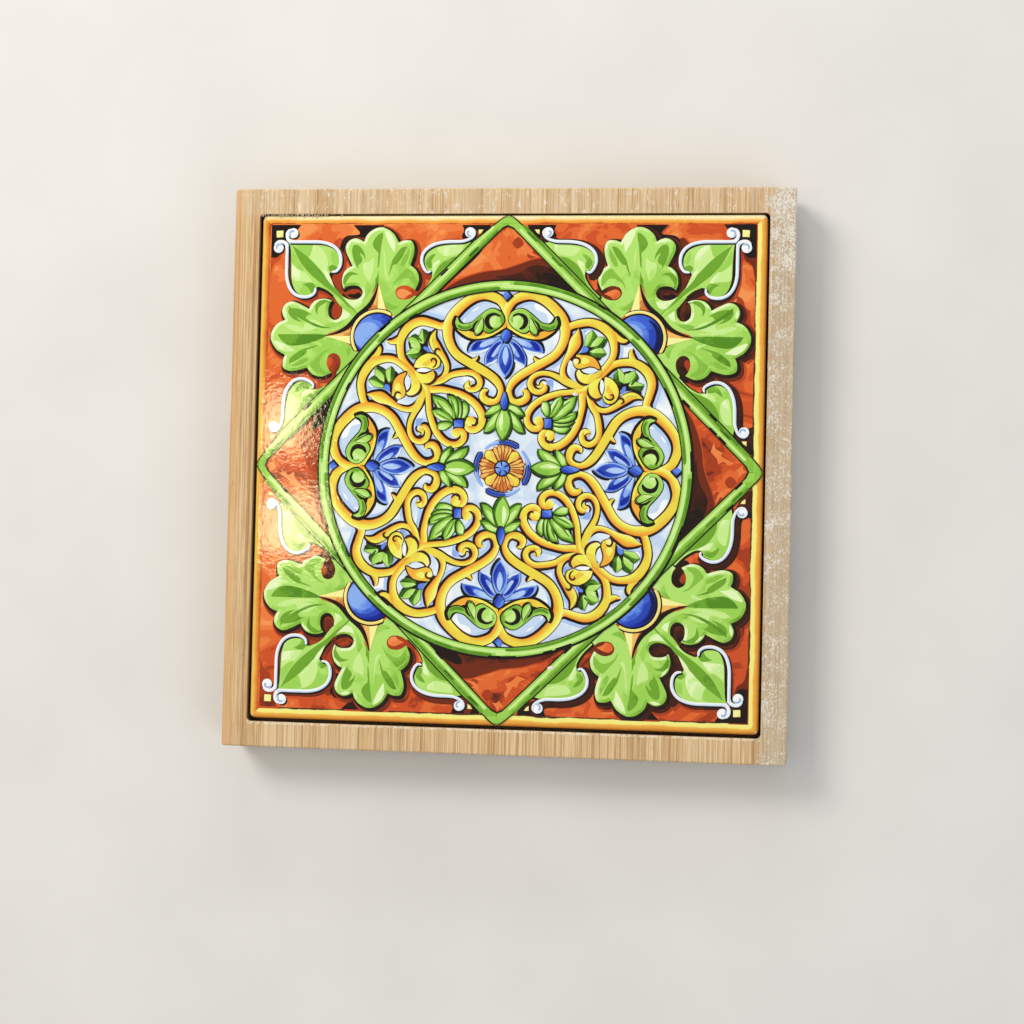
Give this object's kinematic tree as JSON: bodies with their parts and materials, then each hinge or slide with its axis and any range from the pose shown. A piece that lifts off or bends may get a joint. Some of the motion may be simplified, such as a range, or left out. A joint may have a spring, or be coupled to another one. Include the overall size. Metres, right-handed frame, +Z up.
{
  "type": "trivet",
  "caption": "Square bamboo table trivet with a glazed decorative ceramic tile set flush in a milled pocket, on small rubber feet.",
  "frame": {"origin": "on the table under the middle of the board", "axes": "+Z up out of the tile's face; +Y along the bamboo strips, towards the edge that is at the top of the picture; +X to its right"},
  "size_m": [0.1664, 0.1664, 0.0159],
  "materials": {
    "bamboo": "sanded, lightly oiled",
    "bamboo_dark": "sanded, lightly oiled",
    "biscuit": "unglazed pressed clay",
    "glaze": "glossy painted glaze",
    "adhesive": "cured silicone adhesive",
    "rubber": "matte moulded rubber",
    "foot_adhesive": "foam adhesive disc"
  },
  "bodies": {
    "root": {"bamboo_strip_01": "bamboo_dark", "bamboo_strip_02": "bamboo", "bamboo_strip_03": "bamboo", "bamboo_strip_04": "bamboo_dark", "bamboo_strip_05": "bamboo", "bamboo_strip_06": "bamboo", "bamboo_strip_07": "bamboo_dark", "bamboo_strip_08": "bamboo", "bamboo_strip_09": "bamboo", "bamboo_strip_10": "bamboo_dark", "bamboo_strip_11": "bamboo", "bamboo_strip_12": "bamboo", "bamboo_strip_13": "bamboo_dark", "bamboo_strip_14": "bamboo", "bamboo_strip_15": "bamboo", "bamboo_strip_16": "bamboo_dark", "bamboo_strip_17": "bamboo", "bamboo_strip_18": "bamboo", "bamboo_strip_19": "bamboo_dark", "bamboo_strip_20": "bamboo", "bamboo_strip_21": "bamboo", "bamboo_strip_22": "bamboo_dark", "bamboo_strip_23": "bamboo", "bamboo_strip_24": "bamboo", "bamboo_strip_25": "bamboo_dark", "bamboo_strip_26": "bamboo", "bamboo_strip_27": "bamboo", "bamboo_strip_28": "bamboo_dark", "tile_body": "biscuit", "tile_glaze": "glaze", "tile_adhesive": "adhesive", "foot_front_left": "rubber", "foot_front_right": "rubber", "foot_rear_left": "rubber", "foot_rear_right": "rubber", "foot_disc_front_left": "foot_adhesive", "foot_disc_front_right": "foot_adhesive", "foot_disc_rear_left": "foot_adhesive", "foot_disc_rear_right": "foot_adhesive"}
  },
  "joints": []
}
